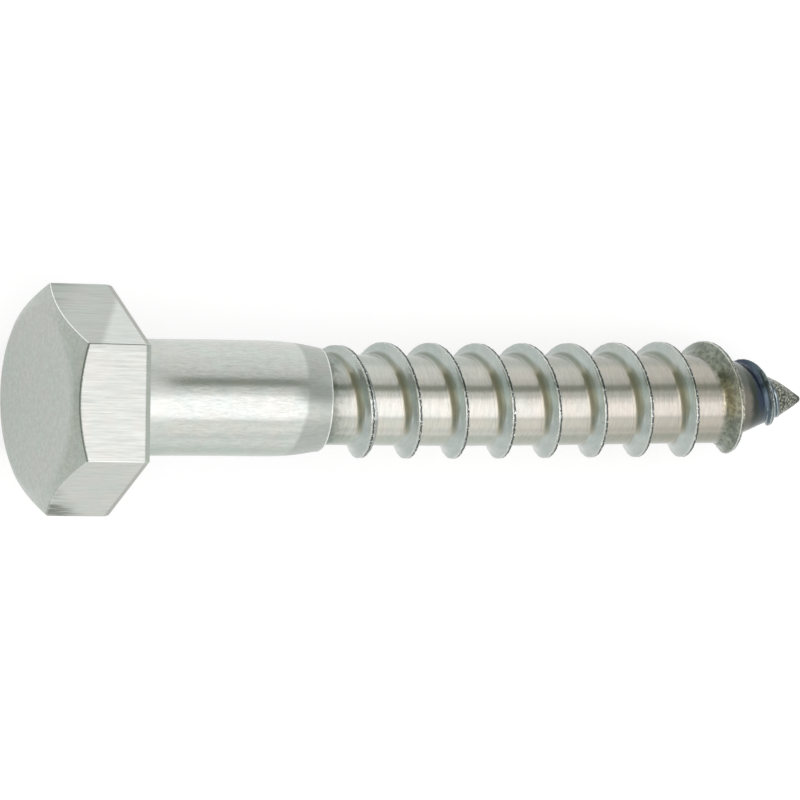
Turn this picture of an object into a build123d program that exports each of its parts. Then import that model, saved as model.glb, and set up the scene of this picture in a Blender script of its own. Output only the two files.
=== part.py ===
"""Lag screw, 10 x 65, with a hexagon head: one steel blank, headed in a die and thread-rolled.

The screw lies as it comes to rest on a floor at z = 0: on the rear edge of its bottom flat and on
a thread crest near the point, so its axis runs down a little towards the point. The origin is
the middle of the bounding box's floor, +X is towards the point and +Z is up.

Lengths along the screw are measured from the bearing face under the head, and grow towards the
point. Angles round it are measured from the normal of the top flat, and grow clockwise for
someone who looks along the screw from its head. Millimetres and degrees.
"""

import os
from math import asin, atan2, ceil, cos, degrees, hypot, radians, sin, tan

from build123d import *

# ---------------------------------------------------------------- driving dimensions

# Hexagon head
across_flats = 17.0
head_height = 6.9
front_face_diameter = 15.4  # the flat circle that the chamfer leaves on the front
chamfer_angle = 30.0  # between the chamfer and the front face
bevel_length = 0.45  # of the shallow bevel that leads the flats into the bearing face
bevel_depth = 0.1
neck_chamfer = 0.35  # where the shank grows out of the bearing face

# Plain shank, and the shoulder that the rolling dies drew down at its end
shank_diameter = 9.92
shank_length = 14.2
shoulder_length = 5.25
rim_diameter = 8.8
rim_slant = 9.0  # the dies ran out aslant, so the rim is not square to the axis

# Core and point
length_under_head = 66.8
core_diameter = 7.8
taper_length = 5.9  # where the core narrows behind the point
point_length = 2.4
point_diameter = 3.2
tip_round = 0.3

# Wood thread: one start, right-handed, coarse and sharp
thread_pitch = 4.5
thread_diameter = 10.0
crest_growth = 0.12  # how much further out the crest stands where the taper starts
growth_length = 14.0  # over which it comes to stand there
thread_start = 18.8
thread_start_angle = 91.0
run_in_length = 4.5  # over which the ridge grows to its full height
thread_on_point = 0.6  # how far the ridge goes on over the point before it has sunk away
crest_land = 0.16  # width of the crest where the ridge has its full height
blunt_land = 1.1  # width that the crest tends to as the ridge sinks away
foot_height = 0.45  # below this the flanks flare into the core
head_flank_angle = 31.0  # of the flank on the head's side, from the axis's normal
head_foot_flare = 0.45  # how much wider than its straight flank that side is at its root
point_flank_angle = 19.0  # the same two for the flank on the point's side
point_foot_flare = 0.15
ridge_root = 0.25  # how deep the ridge is rooted in the core
sunk_angle = 25.0  # the ridge's ends lie this far round beyond where it meets the core
sections_per_turn = 8

# ---------------------------------------------------------------- derived sizes

flat_distance = across_flats / 2
front_face_radius = front_face_diameter / 2
chamfer_reach = flat_distance  # beyond the corners, so the cone trims all of them
chamfer_rise = chamfer_reach * tan(radians(chamfer_angle))
shank_radius = shank_diameter / 2
rim_radius = rim_diameter / 2
rim_position = shank_length + shoulder_length
core_radius = core_diameter / 2
point_radius = point_diameter / 2
point_start = length_under_head - point_length
taper_start = point_start - taper_length
thread_height = (thread_diameter - core_diameter) / 2
thread_end = point_start + thread_on_point
run_out_length = thread_end - taper_start

# The point's cone is tangent to the ball that rounds its tip.
tip_centre = length_under_head - tip_round
cone_run = tip_centre - point_start
point_slope = atan2(point_radius, cone_run) - asin(tip_round / hypot(point_radius, cone_run))


def core_radius_at(position):
    """The radius of the core, its taper or the point, with no thread on it."""
    if position < taper_start:
        return core_radius
    if position < point_start:
        share = (position - taper_start) / taper_length
        return core_radius + share * (point_radius - core_radius)
    return point_radius - (position - point_start) * tan(point_slope)


def ridge_height_at(position):
    """The height of the thread over the core where its crest passes this position."""
    grown = (position - thread_start) / run_in_length
    left = (thread_end - position) / run_out_length
    neared = min(1, max(0, 1 - (taper_start - position) / growth_length))
    return (thread_height + crest_growth * neared) * sin(radians(90 * min(1, grown, left)))


def crest_position(angle):
    """How far along the screw the crest is, after it has gone round to this angle."""
    return thread_start + thread_pitch * (angle - thread_start_angle) / 360


# ---------------------------------------------------------------- how the screw lies


def tilt_resting_on(position):
    """The tilt at which a crest here meets the floor together with the bottom flat's rear edge."""
    crest_radius = core_radius_at(position) + ridge_height_at(position)
    return degrees(atan2(flat_distance - crest_radius, position + crest_land / 2 + bevel_length))


# The crest is straight under the axis once a turn. As the screw tips forward from level, the
# floor stops it at the first of these crests that it meets.
thread_turns = (thread_end - thread_start) / thread_pitch
bottom_crests = [crest_position(180 + 360 * turn) for turn in range(1, int(thread_turns))]
tilt = min(tilt_resting_on(position) for position in bottom_crests)
tilt_cos = cos(radians(tilt))
tilt_sin = sin(radians(tilt))

reach_behind = head_height * tilt_cos + front_face_radius * tilt_sin
reach_ahead = tip_centre * tilt_cos + tip_round
bearing_height = flat_distance * tilt_cos - bevel_length * tilt_sin

# The bearing face. Its x runs up along the top flat's normal, and its z along the screw.
bearing_plane = Plane(
    origin=((reach_behind - reach_ahead) / 2, 0, bearing_height),
    x_dir=(tilt_sin, 0, tilt_cos),
    z_dir=(tilt_cos, 0, -tilt_sin),
)
screw_axis = Axis(bearing_plane.origin, bearing_plane.z_dir)


def meridian(angle):
    """The plane through the axis at this angle round it: x runs along the screw, y outwards."""
    along = bearing_plane.z_dir
    outward = bearing_plane.x_dir.rotate(screw_axis, angle)
    return Plane(bearing_plane.origin, x_dir=along, z_dir=along.cross(outward))


# ---------------------------------------------------------------- the thread's section


def ridge_side(lift, flank_angle, foot_flare):
    """One side of the ridge's section: the widths and heights of its root, foot and crest.

    Where the ridge has not its full height it is pressed flatter and its crest is blunter, as on
    a rolled thread whose die is not filled.
    """
    full_height = thread_height + ridge_root
    slope = tan(radians(flank_angle))
    root_width = crest_land / 2 + full_height * slope + foot_flare
    foot_width = crest_land / 2 + (thread_height - foot_height) * slope
    crest_width = (lift * crest_land + (1 - lift) * blunt_land) / 2
    return [
        (root_width, -ridge_root),
        (foot_width, lift * (foot_height + ridge_root) - ridge_root),
        (crest_width, lift * full_height - ridge_root),
    ]


def ridge_outline(position):
    """The ridge's section where its crest passes this position, closed by its underside."""
    lift = (ridge_height_at(position) + ridge_root) / (thread_height + ridge_root)
    head_side = ridge_side(lift, head_flank_angle, head_foot_flare)
    point_side = ridge_side(lift, point_flank_angle, point_foot_flare)
    corners = [(position - width, height) for width, height in head_side]
    corners += [(position + width, height) for width, height in reversed(point_side)]
    return [(along, core_radius_at(along) + height) for along, height in corners]


# The thread is made in spans of about a turn. The first starts and the last ends inside the core.
first_angle = thread_start_angle - sunk_angle
last_angle = thread_start_angle + 360 * thread_turns + sunk_angle
span_count = ceil((last_angle - first_angle) / 360)
section_step = (last_angle - first_angle) / span_count / sections_per_turn

# ---------------------------------------------------------------- the screw

with BuildPart() as lag_screw:
    # Head: a hexagonal prism with a shallow bevel to its bearing face and a blunt cone over its front
    with BuildSketch(bearing_plane):
        RegularPolygon(flat_distance, 6, major_radius=False, rotation=30)
    extrude(amount=-head_height)
    bearing_face = lag_screw.faces().sort_by(screw_axis)[-1]
    chamfer(bearing_face.edges(), bevel_depth, bevel_length, reference=bearing_face)
    with BuildSketch(meridian(0)):
        with BuildLine():
            Polyline(
                (-head_height, 0),
                (-head_height, front_face_radius),
                (-head_height + chamfer_rise, front_face_radius + chamfer_reach),
                (0, front_face_radius + chamfer_reach),
                (0, 0),
                close=True,
            )
        make_face()
    revolve(axis=screw_axis, mode=Mode.INTERSECT)

# Shank and shoulder, longer than they come out, and cut off at the slanting rim
with BuildPart() as shank:
    with BuildSketch(meridian(0)):
        with BuildLine():
            shank_line = Line((neck_chamfer, shank_radius), (shank_length, shank_radius))
            shoulder_line = TangentArc(
                shank_line @ 1, (rim_position, rim_radius), tangent=shank_line % 1
            )
            overrun_line = PolarLine(
                shoulder_line @ 1, rim_radius / 2, direction=shoulder_line % 1
            )
            Polyline(
                overrun_line @ 1,
                ((overrun_line @ 1).X, 0),
                (0, 0),
                (0, shank_radius + neck_chamfer),
                shank_line @ 0,
            )
        make_face()
    revolve(axis=screw_axis)
    rim_normal = bearing_plane.z_dir.rotate(Axis((0, 0, 0), bearing_plane.y_dir), rim_slant)
    rim_plane = Plane(bearing_plane.offset(rim_position).origin, z_dir=rim_normal)
    split(bisect_by=rim_plane, keep=Keep.BOTTOM)

with lag_screw:
    add(shank.part)

    # Core, taper and point
    with BuildSketch(meridian(0)):
        with BuildLine():
            core_line = Polyline(
                (shank_length, 0),
                (shank_length, core_radius),
                (taper_start, core_radius),
                (point_start, point_radius),
                (tip_centre + tip_round * sin(point_slope), tip_round * cos(point_slope)),
            )
            CenterArc((tip_centre, 0), tip_round, 0, 90 - degrees(point_slope))
            Line((length_under_head, 0), core_line @ 0)
        make_face()
    revolve(axis=screw_axis)

    # Thread: in each span, a loft through sections in planes that pass through the axis
    for span in range(span_count):
        for section in range(span * sections_per_turn, (span + 1) * sections_per_turn + 1):
            section_angle = first_angle + section * section_step
            with BuildSketch(meridian(section_angle)):
                with BuildLine():
                    Polyline(*ridge_outline(crest_position(section_angle)), close=True)
                make_face()
        loft()

os.makedirs("parts", exist_ok=True)
lag_screw.part.label = "lag_screw"
export_step(lag_screw.part, "parts/lag_screw.step")

print(f"tilt {tilt:.6f}, bearing face at {bearing_plane.origin}, volume {lag_screw.part.volume:.1f}")
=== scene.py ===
"""The looks of a lag screw with a hexagon head: headed, thread-rolled steel with a blued point.

Sizes are millimetres and degrees, as in the part's source; the meshes are in metres. Lengths along
the screw are measured from the bearing face under the head and grow towards the point. Angles round
it are measured from the normal of the top flat, and grow clockwise for someone who looks along the
screw from its head. "Side" is the direction a quarter turn on from the top.
"""

import logging
from dataclasses import dataclass
from enum import Enum
from math import asin, atan2, cos, hypot, pi, radians, sin, sqrt, tan
from typing import Any

import bmesh
import bpy
import numpy as np
from mathutils import Matrix, Vector


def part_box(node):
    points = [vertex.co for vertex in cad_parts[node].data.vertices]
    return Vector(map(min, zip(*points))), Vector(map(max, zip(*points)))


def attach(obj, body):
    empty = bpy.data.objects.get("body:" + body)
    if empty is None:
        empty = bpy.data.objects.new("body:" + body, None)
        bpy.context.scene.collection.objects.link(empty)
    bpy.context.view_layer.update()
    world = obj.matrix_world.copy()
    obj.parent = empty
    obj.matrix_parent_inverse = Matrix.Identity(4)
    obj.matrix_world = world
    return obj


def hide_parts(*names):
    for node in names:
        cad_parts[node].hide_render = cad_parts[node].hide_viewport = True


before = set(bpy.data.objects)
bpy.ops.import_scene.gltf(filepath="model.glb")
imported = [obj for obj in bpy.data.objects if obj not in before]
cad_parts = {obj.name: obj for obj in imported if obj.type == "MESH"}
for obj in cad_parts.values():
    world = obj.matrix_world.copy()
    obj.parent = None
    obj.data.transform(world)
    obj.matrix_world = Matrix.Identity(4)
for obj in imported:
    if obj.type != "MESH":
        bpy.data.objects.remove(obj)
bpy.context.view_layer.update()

MM = 0.001
NODE = "lag_screw"
BODY = "root"

ROUND_POINTS = 6  # of a rounded corner
NOISE_SINES = 9  # that make up a rolling noise
FAR_ACROSS = 3.0  # what the core between the turns carries for its distance from the crest
TINY = 1e-6  # keeps a division from failing

# Mesh attributes
PLACE = "place"  # millimetres along the screw, towards its top and to its side
EDGE = "edge"  # 1 on a rounded edge
RISE = "rise"  # 0 on the core, 1 on the thread's crest
ACROSS = "across"  # millimetres from the crest's middle, towards the point
FULL = "full"  # 1 where the ridge has its full height
BROWNED = "browned"  # 1 on the last full turn of the ridge
TINT_PLACE = "tint_place"  # how far towards the point, as the heat tint sees it
BEYOND = "beyond"  # 1 on the point, beyond the collar

Colour = tuple[float, float, float]
Span = tuple[float, float]  # where something starts, and where it ends or is complete
Socket = bpy.types.NodeSocket
log = logging.getLogger("lag_screw")


# ---------------------------------------------------------------- sizes and where things are


@dataclass(frozen=True)
class ScrewSizes:
    """The sizes that the screw's parts share, as in the part's source."""

    across_flats: float = 17.0
    head_height: float = 6.9
    front_face_diameter: float = 15.4
    chamfer_angle: float = 30.0
    bevel_length: float = 0.45
    bevel_depth: float = 0.1
    neck_chamfer: float = 0.35
    shank_diameter: float = 9.92
    shank_length: float = 14.2
    shoulder_length: float = 5.25
    rim_diameter: float = 8.8
    rim_slant: float = 9.0
    length_under_head: float = 66.8
    core_diameter: float = 7.8
    taper_length: float = 5.9
    point_length: float = 2.4
    point_diameter: float = 3.2
    tip_round: float = 0.3
    tilt: float = 3.449438  # from level, down towards the point, as the screw lies on the floor

    @property
    def rim_position(self) -> float:
        """Where the slanting rim crosses the axis."""
        return self.shank_length + self.shoulder_length

    @property
    def point_start(self) -> float:
        """Where the taper turns into the point's cone."""
        return self.length_under_head - self.point_length

    @property
    def taper_start(self) -> float:
        """Where the core begins to narrow."""
        return self.point_start - self.taper_length

    @property
    def tip_centre(self) -> float:
        """The middle of the ball that rounds the tip."""
        return self.length_under_head - self.tip_round

    @property
    def point_slope(self) -> float:
        """The slope of the point's cone, tangent to its ball, in radians."""
        radius, run = self.point_diameter / 2, self.tip_centre - self.point_start
        return atan2(radius, run) - asin(self.tip_round / hypot(radius, run))


@dataclass(frozen=True)
class ScrewFrame:
    """The screw's own axes in the model's frame, and how it is bent."""

    origin: Vector
    axis: Vector
    top: Vector
    side: Vector
    bow_shift: float = 0.01
    bow_depth: float = 0.125
    bow_start: float = 3.0
    bow_length: float = 60.0

    @classmethod
    def of(cls, sizes: ScrewSizes) -> "ScrewFrame":
        """Works out how the screw lies in its box.

        Args:
            sizes: The screw's sizes.

        Returns:
            The frame on the bearing face, with the axis towards the point.
        """
        lowest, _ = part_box(NODE)
        tilt_cos, tilt_sin = cos(radians(sizes.tilt)), sin(radians(sizes.tilt))
        behind = sizes.head_height * tilt_cos + sizes.front_face_diameter / 2 * tilt_sin
        height = sizes.across_flats / 2 * tilt_cos - sizes.bevel_length * tilt_sin
        return cls(
            origin=Vector((lowest.x + behind * MM, 0.0, lowest.z + height * MM)),
            axis=Vector((tilt_cos, 0.0, -tilt_sin)),
            top=Vector((tilt_sin, 0.0, tilt_cos)),
            side=Vector((0.0, -1.0, 0.0)),
        )

    def points(self, place: np.ndarray) -> np.ndarray:
        """Points of the model, in metres, from places along the screw, up and to the side."""
        axes = np.array([self.axis, self.top, self.side])
        return np.array(self.origin) + MM * place @ axes

    def bow(self, along: np.ndarray) -> np.ndarray:
        """How far to the side the slightly bent shank is, in millimetres."""
        wave = np.cos(2 * pi * (along - self.bow_start) / self.bow_length)
        return self.bow_shift - self.bow_depth * wave

    def direction(self, lean: float, turn: float) -> Vector:
        """The direction that leans towards the point and is turned round the axis, in degrees.

        Args:
            lean: How far it leans towards the point.
            turn: How far round it is from the top.

        Returns:
            A unit vector in the model's frame.
        """
        lean, turn = radians(lean), radians(turn)
        across = cos(turn) * self.top + sin(turn) * self.side
        return sin(lean) * self.axis + cos(lean) * across


# ---------------------------------------------------------------- meshes


def place_object(name: str, data: bpy.types.ID) -> bpy.types.Object:
    """Makes an object of new data and links it to the scene.

    Args:
        name: Its name.
        data: What it shows, such as a mesh.

    Returns:
        The object.
    """
    made = bpy.data.objects.new(name, data)
    bpy.context.scene.collection.objects.link(made)
    return made


class Grid:
    """A surface of rows round the screw and columns along it, and what it carries at its points."""

    def __init__(self, along: np.ndarray, radius: np.ndarray, angle: np.ndarray) -> None:
        """Takes the places of the points.

        Args:
            along: Millimetres along the screw, rows by columns.
            radius: Millimetres from the axis, rows by columns.
            angle: Radians round the axis, rows by columns or by one.
        """
        self.shape = along.shape
        self.place = np.stack([along, radius * np.cos(angle), radius * np.sin(angle)], axis=-1)
        self.sideways = np.zeros_like(along)
        self.values: dict[str, np.ndarray] = {}

    def carry(self, name: str, value: np.ndarray) -> None:
        """Adds a mesh attribute with a value for each point."""
        self.values[name] = np.broadcast_to(value, self.shape)

    def closed_faces(self) -> list[tuple[int, ...]]:
        """The faces of a surface whose last row meets its first.

        Returns:
            The faces, as indices of points.
        """
        rows, columns = self.shape
        first = np.arange(rows)[:, None] * columns + np.arange(columns - 1)
        after = np.roll(first, -1, axis=0)
        quads = np.stack([first, after, after + 1, first + 1], axis=-1)
        return [tuple(quad) for quad in quads.reshape(-1, 4).tolist()]

    def ribbon_faces(self, rows_per_turn: int) -> list[tuple[int, ...]]:
        """The faces of a ribbon that winds on, so that its last column is its first a turn on.

        Args:
            rows_per_turn: How many rows there are to a turn.

        Returns:
            The faces, as indices of points.
        """
        rows, columns = self.shape
        index = np.arange(rows * columns).reshape(rows, columns)
        length = rows - rows_per_turn
        wide = np.concatenate([index[:length], index[rows_per_turn:, :1]], axis=1)
        quads = np.stack([wide[:-1, :-1], wide[1:, :-1], wide[1:, 1:], wide[:-1, 1:]], axis=-1)
        return [tuple(quad) for quad in quads.reshape(-1, 4).tolist()]

    def piece(
        self,
        name: str,
        screw: ScrewFrame,
        faces: list[tuple[int, ...]],
        material: bpy.types.Material,
    ) -> bpy.types.Object:
        """Makes the surface into a smooth mesh object.

        Args:
            name: The piece's name.
            screw: The screw's frame.
            faces: The faces, as indices of points.
            material: What it is made of.

        Returns:
            The new object, linked to the scene.
        """
        mesh = bpy.data.meshes.new(name)
        moved = self.place.copy()
        moved[..., 2] += self.sideways
        points = screw.points(moved).reshape(-1, 3)
        mesh.from_pydata(points.tolist(), [], faces)
        place = mesh.attributes.new(PLACE, "FLOAT_VECTOR", "POINT")
        place.data.foreach_set("vector", self.place.astype(np.float32).ravel())
        for label, value in self.values.items():
            attribute = mesh.attributes.new(label, "FLOAT", "POINT")
            attribute.data.foreach_set("value", value.astype(np.float32).ravel())
        work = bmesh.new()
        work.from_mesh(mesh)
        bmesh.ops.remove_doubles(work, verts=work.verts, dist=1e-4 * MM)
        loose = [vertex for vertex in work.verts if not vertex.link_faces]
        bmesh.ops.delete(work, geom=loose, context="VERTS")
        work.to_mesh(mesh)
        work.free()
        mesh.shade_smooth()
        mesh.materials.append(material)
        log.info("%s: %d faces", name, len(mesh.polygons))
        return place_object(name, mesh)


def softened(corners: list[tuple[float, float]], rounds: list[float]) -> np.ndarray:
    """A line through corners, each rounded off.

    Args:
        corners: The corners, as places along and away from the axis.
        rounds: How far from each corner its round reaches; 0 keeps the corner.

    Returns:
        The line's points, one row each. Their number doesn't depend on the places.
    """
    steps = np.linspace(0, 1, ROUND_POINTS)[:, None]
    line = []
    for index, (corner, reach) in enumerate(zip(corners, rounds, strict=True)):
        here = np.array(corner)
        if reach == 0:
            line.append(here[None])
            continue
        before, after = (np.array(corners[index + side]) for side in (-1, 1))
        start = here + (before - here) / np.linalg.norm(before - here) * reach
        end = here + (after - here) / np.linalg.norm(after - here) * reach
        line.append((1 - steps) ** 2 * start + 2 * steps * (1 - steps) * here + steps**2 * end)
    return np.concatenate(line)


def divided(line: np.ndarray, spacing: float, most: int) -> np.ndarray:
    """The share of a line's length at which it gets points, so that long runs are divided.

    Args:
        line: The line's points.
        spacing: The longest run left undivided.
        most: The largest number of parts that a run is divided into.

    Returns:
        Fractional indices into the line.
    """
    runs = np.linalg.norm(np.diff(line, axis=0), axis=1)
    shares = []
    for index, run in enumerate(runs):
        parts = int(min(most, max(1, round(run / spacing))))
        shares.append(index + np.arange(parts) / parts)
    return np.concatenate([*shares, [len(runs)]])


def grown(value: np.ndarray, start: float, length: float) -> np.ndarray:
    """0 up to a start, and 1 from a length after it."""
    return np.clip((value - start) / length, 0, 1)


def faded(value: np.ndarray, end: float, length: float) -> np.ndarray:
    """1 until a length before an end, and 0 from the end on."""
    return np.clip((end - value) / length, 0, 1)


def rolling_noise(angle: np.ndarray, waves: int, seed: int) -> np.ndarray:
    """A smooth irregular value, mostly from -1 to 1, along an angle; the same in each run.

    Args:
        angle: Radians.
        waves: About how many waves there are to a turn.
        seed: Which of such values it is.

    Returns:
        The values at the angles.
    """
    draw = np.random.default_rng(seed)
    total = np.zeros_like(angle)
    for frequency in draw.uniform(0.35 * waves, 1.6 * waves, NOISE_SINES):
        total += np.sin(frequency * angle + draw.uniform(0, 2 * pi))
    return 2 * total / NOISE_SINES


# ---------------------------------------------------------------- shader nodes


class Nodes:
    """Adds and joins the nodes of one tree."""

    def __init__(self, tree: bpy.types.NodeTree) -> None:
        """Starts with an empty tree."""
        self.tree = tree
        tree.nodes.clear()

    def feed(self, socket: Socket, value: Any) -> None:
        """Links a socket to another one, or sets its value.

        Args:
            socket: The socket.
            value: Another socket, a number, a vector or a colour.
        """
        if isinstance(value, Socket):
            self.tree.links.new(value, socket)
        elif isinstance(value, tuple) and len(value) == 3 and socket.type == "RGBA":
            socket.default_value = (*value, 1.0)
        else:
            socket.default_value = value

    def add(self, kind: str, inputs: dict | None = None, **settings: Any) -> bpy.types.Node:
        """Adds a node.

        Args:
            kind: The node's type, without the word Shader in front.
            inputs: Values or sockets for its inputs, by name or index.
            settings: Its other properties.

        Returns:
            The node.
        """
        node = self.tree.nodes.new(kind if kind.startswith("Node") else "ShaderNode" + kind)
        for name, value in settings.items():
            setattr(node, name, value)
        for name, value in (inputs or {}).items():
            self.feed(node.inputs[name], value)
        return node

    def surface(self, kind: str, inputs: dict) -> None:
        """Adds a shader and makes it the material's surface."""
        self.add("OutputMaterial", {0: self.add(kind, inputs).outputs[0]})

    def math(self, operation: str, *values: Any) -> Socket:
        """The result of a Math node on up to three values."""
        return self.add("Math", dict(enumerate(values)), operation=operation).outputs[0]

    def times(self, value: Any, *others: Any) -> Any:
        """The product of values.

        Args:
            value: The first value.
            others: The other values.

        Returns:
            The product.
        """
        for other in others:
            value = self.math("MULTIPLY", value, other)
        return value

    def less(self, value: Any, other: Any) -> Socket:
        """One value less another."""
        return self.math("SUBTRACT", value, other)

    def scaled(self, value: Any, factor: Any, extra: Any) -> Socket:
        """A value times a factor, with something added."""
        return self.math("MULTIPLY_ADD", value, factor, extra)

    def vector(self, operation: str, *values: Any) -> Socket:
        """The vector that a Vector Math node makes."""
        return self.add("VectorMath", dict(enumerate(values)), operation=operation).outputs[0]

    def dot(self, vector: Any, other: tuple[float, float, float]) -> Socket:
        """The dot product of two vectors."""
        return self.add("VectorMath", {0: vector, 1: other}, operation="DOT_PRODUCT").outputs[1]

    def ramp(
        self, value: Any, low: float, high: float, to_low: float = 0.0, to_high: float = 1.0
    ) -> Socket:
        """A value taken smoothly from one range to another, and held at its ends.

        Args:
            value: The value.
            low: Where its range starts.
            high: Where its range ends.
            to_low: What comes out at the start.
            to_high: What comes out at the end.

        Returns:
            The result.
        """
        inputs = {
            "Value": value,
            "From Min": low,
            "From Max": high,
            "To Min": to_low,
            "To Max": to_high,
        }
        return self.add("MapRange", inputs, interpolation_type="SMOOTHSTEP").outputs[0]

    def fade(self, value: Any, low: float, high: float, start: float = 1.0) -> Socket:
        """Falls smoothly to 0 over a range of the value."""
        return self.ramp(value, low, high, start, 0.0)

    def window(self, value: Any, low: float, high: float, blur: float) -> Socket:
        """1 between two values, fading to 0 beyond them."""
        rise = self.ramp(value, low - blur, low + blur)
        return self.times(rise, self.fade(value, high - blur, high + blur))

    def mix(self, share: Any, first: Any, second: Any, how: str = "MIX") -> Socket:
        """A colour mixed from two."""
        inputs = {"Factor": share, 6: first, 7: second}
        return self.add("Mix", inputs, data_type="RGBA", blend_type=how).outputs[2]

    def layered(self, colour: Any, *layers: tuple[Any, Any]) -> Any:
        """A colour with others laid over it in turn, each by its own mask.

        Args:
            colour: The lowest colour.
            layers: Each layer's mask and colour, from the lowest up.

        Returns:
            The uppermost result.
        """
        for mask, layer in layers:
            colour = self.mix(mask, colour, layer)
        return colour

    def shaded(self, colour: Any, by: Any, share: Any = 1.0) -> Socket:
        """A colour multiplied by another, by some share."""
        return self.mix(share, colour, by, "MULTIPLY")

    def grey(self, value: Any) -> Socket:
        """A value as a grey colour."""
        return self.add("CombineColor", {0: value, 1: value, 2: value}).outputs[0]

    def noise(
        self, vector: Any, scale: float, detail: float = 3.0, roughness: float = 0.55
    ) -> Socket:
        """The value of a noise texture."""
        inputs = {"Vector": vector, "Scale": scale, "Detail": detail, "Roughness": roughness}
        return self.add("TexNoise", inputs).outputs[0]

    def wander(
        self, vector: Any, scale: float, detail: float = 3.0, roughness: float = 0.55
    ) -> Socket:
        """Noise about 0."""
        return self.less(self.noise(vector, scale, detail, roughness), 0.5)

    def value_of(self, name: str) -> Socket:
        """A mesh attribute's value."""
        return self.add("Attribute", attribute_name=name).outputs["Fac"]

    def place_of_point(self) -> Socket:
        """Where each point is on the screw."""
        return self.add("Attribute", attribute_name=PLACE).outputs["Vector"]


class Lay(Enum):
    """Which way a surface's fine marks run."""

    ALONG = "along"
    AROUND = "around"


class Groups:
    """The shader node groups that the finishes share, each built once."""

    def __init__(self) -> None:
        """Builds the groups."""
        self.coordinates = {lay: self._coordinates(lay) for lay in Lay}
        self.grain = self._grain()
        self.mottle = self._mottle()
        self.broken_line = self._broken_line()

    @staticmethod
    def _start(
        name: str, inputs: dict[str, str], outputs: dict[str, str]
    ) -> tuple[Nodes, list[Socket]]:
        """Makes a group with its sockets.

        Args:
            name: The group's name.
            inputs: The kind of each named input.
            outputs: The kind of each named output.

        Returns:
            Its tree, and what comes in through its inputs.
        """
        tree = bpy.data.node_groups.new(name, "ShaderNodeTree")
        for way, sockets in (("INPUT", inputs), ("OUTPUT", outputs)):
            for label, kind in sockets.items():
                tree.interface.new_socket(label, in_out=way, socket_type="NodeSocket" + kind)
        nodes = Nodes(tree)
        return nodes, list(nodes.add("NodeGroupInput").outputs)[: len(inputs)]

    @classmethod
    def _coordinates(cls, lay: Lay) -> bpy.types.NodeTree:
        """Coordinates in which round noise comes out stretched along or around the screw.

        Args:
            lay: Which way the noise is stretched.

        Returns:
            The group.
        """
        nodes, (stretch,) = cls._start(
            f"marks_{lay.value}", {"Stretch": "Float"}, {"Vector": "Vector"}
        )
        along, up, side = nodes.add("SeparateXYZ", {0: nodes.place_of_point()}).outputs
        if lay is Lay.ALONG:
            short = nodes.math("DIVIDE", along, stretch)
            result = nodes.add("CombineXYZ", {0: short, 1: up, 2: side}).outputs[0]
        else:
            ring = nodes.add("CombineXYZ", {1: up, 2: side}).outputs[0]
            reach = nodes.math("DIVIDE", 4.0, stretch)
            inputs = {0: nodes.vector("NORMALIZE", ring), "Scale": reach}
            short = nodes.add("VectorMath", inputs, operation="SCALE").outputs[0]
            lengthwise = nodes.add("CombineXYZ", {0: along}).outputs[0]
            result = nodes.vector("ADD", short, lengthwise)
        nodes.add("NodeGroupOutput", {0: result})
        return nodes.tree

    @classmethod
    def _grain(cls) -> bpy.types.NodeTree:
        """Fine marks: a tone about 1 and a height, from coarse and fine noise together.

        Returns:
            The group.
        """
        nodes, (vector, scale, contrast) = cls._start(
            "fine_marks",
            {"Vector": "Vector", "Scale": "Float", "Contrast": "Float"},
            {"Tone": "Float", "Height": "Float"},
        )
        coarse = nodes.noise(vector, scale, 2.0)
        fine = nodes.noise(vector, nodes.times(scale, 3.1), 2.0, 0.6)
        height = nodes.math("ADD", nodes.times(coarse, 0.55), nodes.times(fine, 0.45))
        tone = nodes.math("ADD", nodes.times(nodes.less(height, 0.5), contrast), 1.0)
        nodes.add("NodeGroupOutput", {0: tone, 1: height})
        return nodes.tree

    @classmethod
    def _mottle(cls) -> bpy.types.NodeTree:
        """Soft patches that turn a colour a little warmer or cooler.

        Returns:
            The group.
        """
        nodes, (colour, warm, cool, scale) = cls._start(
            "mottle",
            {"Color": "Color", "Warm": "Color", "Cool": "Color", "Scale": "Float"},
            {"Color": "Color"},
        )
        hue = nodes.ramp(nodes.noise(nodes.place_of_point(), scale), 0.38, 0.62)
        nodes.add("NodeGroupOutput", {0: nodes.shaded(colour, nodes.mix(hue, cool, warm))})
        return nodes.tree

    @classmethod
    def _broken_line(cls) -> bpy.types.NodeTree:
        """A mask of what lies nearer a line than a width, with a broken edge.

        Returns:
            The group.
        """
        nodes, (distance, width, breakup, scale, offset) = cls._start(
            "broken_line",
            {
                "Distance": "Float",
                "Width": "Float",
                "Breakup": "Float",
                "Scale": "Float",
                "Offset": "Vector",
            },
            {"Mask": "Float"},
        )
        place = nodes.vector("ADD", nodes.place_of_point(), offset)
        wander = nodes.wander(place, scale, roughness=0.65)
        reach = nodes.scaled(wander, breakup, nodes.math("ABSOLUTE", distance))
        inner = nodes.times(width, 0.6)
        share = nodes.math("DIVIDE", nodes.less(reach, inner), nodes.less(width, inner))
        nodes.add("NodeGroupOutput", {0: nodes.fade(share, 0.0, 1.0)})
        return nodes.tree


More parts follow.
